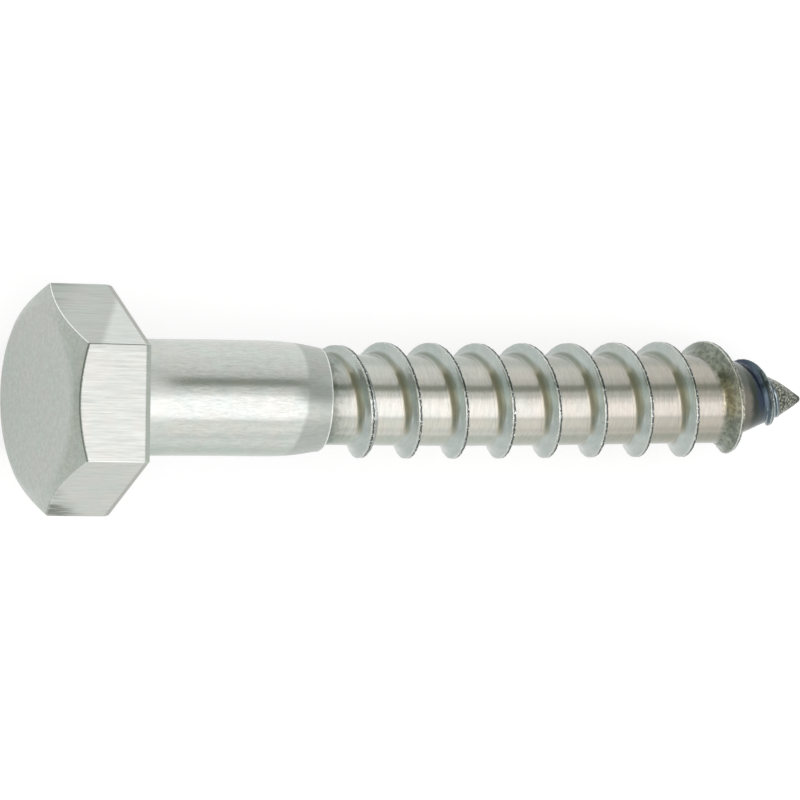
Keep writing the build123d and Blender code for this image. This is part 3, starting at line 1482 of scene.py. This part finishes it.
@dataclass
class WoodThread:
    """The core, its taper and point, and the one coarse ridge rolled round them.

    The surface is a ribbon that winds round the screw. Each of its rows runs from the middle of
    the crest over its flank towards the point, the core, and the next turn's flank on the head's
    side, up to the next turn's crest.
    """

    sizes: ScrewSizes
    screw: ScrewFrame
    pitch: float = 4.5
    diameter: float = 10.0
    start: float = 18.8
    start_angle: float = 91.0
    run_in: float = 4.5
    on_point: float = 0.6
    crest_growth: float = 0.12
    growth_length: float = 14.0
    crest_land: float = 0.16
    blunt_land: float = 1.1
    land_behind: float = 0.1  # how far the torn crest reaches from its middle, towards the head
    land_ahead: float = 0.22  # the same towards the point
    foot_height: float = 0.45
    head_flank_angle: float = 31.0
    head_foot_flare: float = 0.45
    point_flank_angle: float = 19.0
    point_foot_flare: float = 0.15
    ridge_root: float = 0.25
    foot_blend: float = 0.09
    hidden_start: float = 16.5  # inside the shank, where the core is closed
    closing_length: float = 0.1

    # Wear and the marks of the dies
    pressed_share: float = 0.24  # of the ridge's height, where it is pressed down
    pressed_at: float = 61.5
    pressed_over: float = 0.8
    smears: tuple[tuple[float, float, float], ...] = ((21.6, 23.2, 0.28), (61.8, 65.4, 0.42))
    # from where to where the crest is smeared towards the point, and how far
    smear_fade: float = 0.8
    crest_tear: float = 0.02
    collar: Span = (60.5, 64.6)  # which has fine ridges
    collar_ridges: float = 0.035
    collar_ridge_pitch: float = 0.3
    point_grit: float = 0.03
    last_turn: Span = (56.3, 60.6)  # which is browned
    tint_slant: float = 0.5
    grit_start: float = 60.1
    tint_end: float = 63.2  # up to here the heat tint covers the collar's far side

    # How finely it is divided
    rows_per_turn: int = 160
    land_share: tuple[float, ...] = (0.0, 0.2, 0.4, 0.6, 0.8, 0.93, 1.0)
    flank_share: tuple[float, ...] = (
        *(0.06, 0.16, 0.3, 0.44, 0.56, 0.67),
        *(0.78, 0.87, 0.93, 0.97, 1.0),
    )
    past_foot: tuple[float, ...] = (0.04, 0.1, 0.18)
    core_columns: int = 8

    @property
    def height(self) -> float:
        """The full height of the ridge over the core."""
        return (self.diameter - self.sizes.core_diameter) / 2

    @property
    def end(self) -> float:
        """Where the ridge has sunk away, on the point's cone."""
        return self.sizes.point_start + self.on_point

    def core_radius(self, along: np.ndarray) -> np.ndarray:
        """The radius of the core, taper and point, closed at both ends.

        Args:
            along: Places along the screw.

        Returns:
            The radius there, with no ridge.
        """
        sizes = self.sizes
        ball = np.sqrt(np.clip(sizes.tip_round**2 - (along - sizes.tip_centre) ** 2, 0, None))
        cone_end = sizes.tip_centre + sizes.tip_round * sin(sizes.point_slope)
        marks = [
            (self.hidden_start - self.closing_length, 0.0),
            (self.hidden_start, sizes.core_diameter / 2),
            (sizes.taper_start, sizes.core_diameter / 2),
            (sizes.point_start, sizes.point_diameter / 2),
            (cone_end, sizes.tip_round * cos(sizes.point_slope)),
        ]
        return np.where(along > cone_end, ball, np.interp(along, *zip(*marks)))

    def ridge_height(self, crest: np.ndarray) -> np.ndarray:
        """The ridge's height over the core where its crest is at these places.

        Args:
            crest: The crest's place in each row.

        Returns:
            The height in each row.
        """
        run_in = grown(crest, self.start, self.run_in)
        run_out = faded(crest, self.end, self.end - self.sizes.taper_start)
        neared = grown(crest, self.sizes.taper_start - self.growth_length, self.growth_length)
        full = self.height + self.crest_growth * neared
        from_press = (crest - self.pressed_at) / self.pressed_over
        pressed = 1 - self.pressed_share * np.exp(-(from_press**2))
        return full * pressed * np.sin(pi / 2 * np.minimum(run_in, run_out))

    def smear(self, crest: np.ndarray) -> np.ndarray:
        """How much further the crest is smeared to the point, on the first turn and the collar.

        Args:
            crest: The crest's place in each row.

        Returns:
            The extra width in each row, as one column.
        """
        reach = np.zeros_like(crest)
        for start, end, width in self.smears:
            smeared = grown(crest, start, self.smear_fade) * faded(crest, end, self.smear_fade)
            reach += width * smeared
        return reach[:, None]

    def side(
        self,
        crest: np.ndarray,
        half_land: float,
        flank_angle: float,
        flare: float,
        extra: np.ndarray | float = 0.0,
    ) -> tuple[np.ndarray, np.ndarray]:
        """One side of the ridge's section.

        Args:
            crest: The crest's place in each row.
            half_land: How wide the crest is on this side.
            flank_angle: Between the flank and the axis's normal.
            flare: How much wider than its straight flank the ridge is at its root.
            extra: How much further out this whole side is than on a clean ridge.

        Returns:
            The distance of each point from the crest's middle, and its height over the core.
        """
        full = self.height + self.ridge_root
        lift = ((self.ridge_height(crest) + self.ridge_root) / full)[:, None]
        slope = tan(radians(flank_angle))
        land = lift * half_land + (1 - lift) * self.blunt_land / 2 + extra
        top = lift * full - self.ridge_root
        foot = self.crest_land / 2 + (self.height - self.foot_height) * slope + extra
        foot_top = lift * (self.foot_height + self.ridge_root) - self.ridge_root
        root = self.crest_land / 2 + full * slope + flare + extra
        low_flare = foot + (root - foot) * foot_top / (foot_top + self.ridge_root)
        low_flank = land + (foot - land) * top / np.maximum(top - foot_top, TINY)
        low = np.where(foot_top > 0, low_flare, low_flank)
        across = np.concatenate(
            [
                land * np.array(self.land_share),
                land + (low - land) * np.array(self.flank_share),
                low + np.array(self.past_foot),
            ],
            axis=1,
        )
        flank_line = top + (across - land) * (foot_top - top) / (foot - land)
        flare_line = foot_top - (across - foot) * (foot_top + self.ridge_root) / (root - foot)
        raw = np.minimum(top, np.where(across < foot, flank_line, flare_line))
        eased = (raw + np.sqrt(raw**2 + self.foot_blend**2 / 4)) / 2
        blended = np.where(raw < 0.6 * top, eased, np.maximum(raw, eased))
        return across, blended * grown(top, 0, 0.15)

    def rows(self) -> ThreadRows:
        """Lays out the ribbon's points, without its wear.

        Returns:
            The rows, from inside the shank to beyond the point.
        """
        first = self.hidden_start - 1.2 * self.pitch
        length = self.sizes.length_under_head + 1.1 * self.pitch - first
        count = int(length / self.pitch * self.rows_per_turn)
        crest = first + self.pitch * np.arange(count) / self.rows_per_turn
        near, near_height = self.side(
            crest,
            self.land_ahead,
            self.point_flank_angle,
            self.point_foot_flare,
            self.smear(crest),
        )
        far, far_height = self.side(
            crest + self.pitch, self.land_behind, self.head_flank_angle, self.head_foot_flare
        )
        core_from, core_to = near[:, -1:], self.pitch - far[:, -1:]
        shares = (np.arange(self.core_columns) + 1) / (self.core_columns + 1)
        core = core_from + (core_to - core_from) * shares
        back, back_height = far[:, :0:-1], far_height[:, :0:-1]
        crest = crest[:, None]
        along = crest + np.concatenate([near, core, self.pitch - back], axis=1)
        across = np.concatenate([near, 0 * core + FAR_ACROSS, -back], axis=1)
        columns = np.arange(along.shape[1])
        is_ahead = columns < near.shape[1] + self.core_columns
        land = near[:, len(self.land_share) - 1, None]
        angle = np.radians(self.start_angle) + 2 * pi * (crest - self.start) / self.pitch
        return ThreadRows(
            crest=crest,
            own_crest=crest + np.where(is_ahead, 0.0, self.pitch),
            angle=np.broadcast_to(angle, along.shape),
            along=along,
            across=across,
            past_land=np.where(columns < near.shape[1], across - land, FAR_ACROSS),
            height=np.concatenate([near_height, 0 * core, back_height], axis=1),
            top=np.where(is_ahead, near_height[:, :1], far_height[:, :1]),
        )

    def worn(self, rows: ThreadRows) -> tuple[np.ndarray, np.ndarray]:
        """Tears the crest, and adds the collar's ridges and the grit on the point.

        Args:
            rows: The clean rows.

        Returns:
            How far along each point is, and how far from the axis.
        """
        length, angle = self.sizes.length_under_head, rows.angle
        on_crest = grown(rows.share, 0.9, 0.1) * grown(rows.top, 0, 0.4)
        torn = 0.7 * rolling_noise(angle, 40, 3) + 0.6 * rolling_noise(angle, 70, 8)
        height = rows.height + self.crest_tear * on_crest * torn
        along = rows.along + self.crest_tear * on_crest * rolling_noise(angle, 40, 5)
        ridged = grown(rows.crest, self.collar[0], 1.0) * faded(rows.crest, self.collar[1], 0.8)
        ridged = ridged * grown(rows.share, 0.6, 0.3) * grown(rows.top, 0, 0.3)
        waves = np.sin(2 * pi * rows.across / self.collar_ridge_pitch)
        height = height + self.collar_ridges * waves * ridged
        along = np.clip(along, self.hidden_start - self.closing_length, length)
        radius = self.core_radius(along) + np.where(along < length, height, 0.0)
        grit = grown(along, self.end - 0.3, 0.4) * grown(radius, 0, 0.4)
        radius = radius + self.point_grit * grit * rolling_noise(angle + 7 * along, 22, 12)
        return along, np.maximum(radius, 0.0)

    def mark(self, grid: Grid, rows: ThreadRows) -> None:
        """Gives the surface what its finish reads: crest, last turn, heat and point.

        Args:
            grid: The worn surface.
            rows: Its rows as they were laid out.
        """
        grid.carry(RISE, rows.share * grown(rows.top, 0, 0.3))
        grid.carry(ACROSS, rows.across)
        grid.carry(FULL, grown(rows.top, 0, 0.6))
        start, end = self.last_turn
        browned = grown(rows.own_crest, start, 0.8) * faded(rows.own_crest, end, 0.5)
        browned = browned * (rows.across < 0.3) * grown(rows.across, -1.5, 0.4)
        grid.carry(BROWNED, browned)
        grid.carry(TINT_PLACE, grid.place[..., 0] - self.tint_slant * np.sin(rows.angle))
        tinted_back = 0.5 * faded(rows.crest, self.tint_end, 1.6)
        off_land = grown(rows.past_land - tinted_back, 0, 0.15)
        grid.carry(BEYOND, grown(rows.crest, self.grit_start, 0.4) * off_land)

    def build(self, finish: SteelFinish, groups: Groups) -> bpy.types.Object:
        """Builds and dresses the thread with the core and the point.

        Args:
            finish: The thread's finish.
            groups: The shared node groups.

        Returns:
            The piece.
        """
        rows = self.rows()
        along, radius = self.worn(rows)
        grid = Grid(along, radius, rows.angle)
        grid.sideways = self.screw.bow(along)
        self.mark(grid, rows)
        faces = grid.ribbon_faces(self.rows_per_turn)
        return grid.piece("wood_thread", self.screw, faces, finish.build(groups))


# ---------------------------------------------------------------- studio and camera


@dataclass(frozen=True)
class Card:
    """A curved card or light panel that hangs round the screw."""

    name: str
    lean: Span  # from and to which lean towards the point, in degrees
    turn: Span  # from and to which turn round the axis, in degrees
    level: Colour  # how bright it looks from the screw
    nearer: float = 1.0  # its distance, as a share of the studio's


@dataclass
class Studio:
    """A pale floor, soft light from all round, a strip light along the screw, and dark cards."""

    screw: ScrewFrame
    floor_size: float = 6.0
    floor_colour: Colour = (0.5, 0.5, 0.5)
    floor_glow: float = 0.64
    dome_level: float = 0.85
    card_distance: float = 0.7
    card_middle: float = 25.0  # millimetres along the screw
    card_steps: int = 12
    lamp_size: float = 0.5
    lamp_energy: float = 0.55
    lamp_distance: float = 0.8
    lamp_direction: Span = (10.0, 22.0)  # its lean and its turn
    cards: tuple[Card, ...] = (
        Card("strip_light", (-25, 35), (-7, 41.5), (1.8, 1.74, 1.8)),
        Card("soft_panel", (-25, 46), (50, 74), (1.2, 1.18, 1.16), 0.99),
        Card("black_card", (-30, 40), (-41, -24), (0.3, 0.325, 0.285), 0.95),
        Card("shoulder_card", (31, 46), (-46, 6), (0.47, 0.5, 0.47), 0.94),
        Card("shoulder_panel", (36, 52), (8, 50), (1.55, 1.55, 1.51), 0.93),
        Card("grey_card", (-30, 50), (-60, -41), (0.86, 0.86, 0.86), 0.96),
        Card("side_card", (-85, -12), (-62, -14), (0.36, 0.38, 0.31), 0.97),
        Card("head_end_card", (-80, -40), (-80, 80), (0.55, 0.53, 0.42), 0.98),
        Card("near_end_card", (-95, -80), (-80, 80), (0.64, 0.68, 0.66), 0.99),
    )

    @staticmethod
    def _put(
        name: str, points: list[Any], faces: list[tuple[int, ...]]
    ) -> tuple[bpy.types.Object, Nodes]:
        """Makes a sheet for the studio with an empty material.

        Args:
            name: Its name.
            points: Its points, in metres.
            faces: Its faces.

        Returns:
            The object, and its material's nodes.
        """
        mesh = bpy.data.meshes.new(name)
        mesh.from_pydata(points, [], faces)
        material = bpy.data.materials.new(name)
        material.use_nodes = True
        mesh.materials.append(material)
        made = place_object(name, mesh)
        return made, Nodes(material.node_tree)

    @staticmethod
    def _shown(nodes: Nodes) -> Socket:
        """1 for rays that show the background itself or its reflection.

        Args:
            nodes: The nodes that it is added to.

        Returns:
            The mask.
        """
        path = nodes.add("LightPath")
        kinds = ("Is Camera Ray", "Is Glossy Ray", "Is Transmission Ray")
        camera, glossy, through = (path.outputs[kind] for kind in kinds)
        return nodes.math("MAXIMUM", nodes.math("MAXIMUM", camera, glossy), through)

    def floor(self) -> None:
        """Lays the floor, which shows white and keeps the screw's shadow."""
        half = self.floor_size / 2
        corners = [(-half, -half, 0), (half, -half, 0), (half, half, 0), (-half, half, 0)]
        _, nodes = self._put("floor", corners, [(0, 1, 2, 3)])
        matt = nodes.add("BsdfDiffuse", {"Color": self.floor_colour})
        glow = nodes.add("Emission", {"Strength": nodes.times(self._shown(nodes), self.floor_glow)})
        nodes.surface("AddShader", {0: matt.outputs[0], 1: glow.outputs[0]})

    def dome(self) -> None:
        """Fills the world with plain white light."""
        world = bpy.data.worlds.new("dome")
        world.use_nodes = True
        bpy.context.scene.world = world
        nodes = Nodes(world.node_tree)
        extra = nodes.times(self._shown(nodes), 1.0 - self.dome_level)
        level = nodes.math("ADD", extra, self.dome_level)
        sky = nodes.add("Background", {"Color": (1.0, 1.0, 1.0), "Strength": level})
        nodes.add("OutputWorld", {0: sky.outputs[0]})

    def hang(self, card: Card) -> None:
        """Hangs a card, which the camera doesn't see.

        Args:
            card: The card.
        """
        steps = self.card_steps
        middle = self.screw.origin + self.screw.axis * self.card_middle * MM
        reach = self.card_distance * card.nearer
        leans, turns = (np.linspace(*span, steps + 1) for span in (card.lean, card.turn))
        points = [middle + reach * self.screw.direction(a, b) for a in leans for b in turns]
        index = np.arange((steps + 1) ** 2).reshape(steps + 1, steps + 1)
        corners = [index[:-1, :-1], index[:-1, 1:], index[1:, 1:], index[1:, :-1]]
        faces = np.stack(corners, axis=-1).reshape(-1, 4).tolist()
        made, nodes = self._put(card.name, points, faces)
        nodes.surface("Emission", {"Color": card.level, "Strength": 1.0})
        made.visible_camera = made.visible_shadow = made.visible_diffuse = False

    def lamp(self) -> None:
        """Hangs a soft lamp overhead."""
        lamp = bpy.data.lights.new("overhead_lamp", "AREA")
        lamp.size, lamp.energy = self.lamp_size, self.lamp_energy
        away = self.screw.direction(*self.lamp_direction)
        hung = place_object("overhead_lamp", lamp)
        hung.location = self.screw.origin + self.lamp_distance * away
        hung.rotation_mode = "QUATERNION"
        hung.rotation_quaternion = away.to_track_quat("Z", "Y")
        hung.visible_glossy = False

    def build(self) -> None:
        """Sets up the floor, the dome, the cards and the lamp."""
        self.floor()
        self.dome()
        for card in self.cards:
            self.hang(card)
        self.lamp()


@dataclass
class ScrewCamera:
    """The camera: a long lens that looks down on the screw, a little from its head's side."""

    screw: ScrewFrame
    lens: float = 292.5
    sensor: float = 36.0
    distance: float = 548.75
    look_angle: float = 26.13  # between the screw's axis and the plane of the view
    roll: float = 1.7  # of the top flat, away from the camera
    in_plane: float = 0.15  # how far the axis is turned in the view
    bearing_x: float = -24.458  # the bearing face's middle, to the right of the view's middle
    bearing_y: float = -0.135  # the same, downwards

    def build(self) -> None:
        """Makes the camera and gives it to the scene."""
        angles = (self.roll, self.look_angle, self.in_plane)
        roll, look, twist = (radians(angle) for angle in angles)
        facing = cos(roll) * self.screw.top - sin(roll) * self.screw.side
        across = sin(roll) * self.screw.top + cos(roll) * self.screw.side
        lengthwise = cos(look) * self.screw.axis + sin(look) * facing
        ahead = sin(look) * self.screw.axis - cos(look) * facing
        right = cos(twist) * lengthwise - sin(twist) * across
        down = sin(twist) * lengthwise + cos(twist) * across
        to_bearing = self.bearing_x * right + self.bearing_y * down + self.distance * ahead
        data = bpy.data.cameras.new("camera")
        data.lens, data.sensor_width = self.lens, self.sensor
        data.clip_start, data.clip_end = 0.01, 50.0
        camera = place_object("camera", data)
        axes = Matrix((right, -down, -ahead)).transposed().to_4x4()
        camera.matrix_world = Matrix.Translation(self.screw.origin - MM * to_bearing) @ axes
        bpy.context.scene.camera = camera


# ---------------------------------------------------------------- putting it together


def main() -> None:
    """Builds the camera, the studio and the screw's parts."""
    logging.basicConfig(level=logging.INFO, format="%(name)s: %(message)s")
    bpy.context.scene.view_settings.view_transform = "Standard"
    sizes = ScrewSizes()
    screw = ScrewFrame.of(sizes)
    ScrewCamera(screw).build()
    Studio(screw).build()
    head_finish = HeadFinish(
        "forged_head",
        colour=(0.522, 0.542, 0.504),
        lay=Lay.ALONG,
        stretch=30.0,
        mark_scale=9.0,
        tone_contrast=0.85,
    )
    shank_finish = ShankFinish(
        "drawn_shank",
        colour=(0.545, 0.57, 0.535),
        lay=Lay.ALONG,
        stretch=6.0,
        mark_scale=5.5,
        tone_contrast=0.7,
        roughness=0.22,
    )
    thread_finish = ThreadFinish(
        "rolled_thread",
        colour=(0.55, 0.555, 0.505),
        lay=Lay.AROUND,
        stretch=6.0,
        mark_scale=4.0,
        tone_contrast=0.5,
        roughness=0.21,
    )
    groups = Groups()
    head = Head(sizes, screw).build(head_finish, groups)
    shank = Shank(sizes, screw).build(shank_finish, groups)
    thread = WoodThread(sizes, screw).build(thread_finish, groups)
    for piece in (head, shank, thread):
        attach(piece, BODY)
        log.info("%s is dressed", piece.name)
    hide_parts(NODE)


if __name__ == "__main__":
    main()
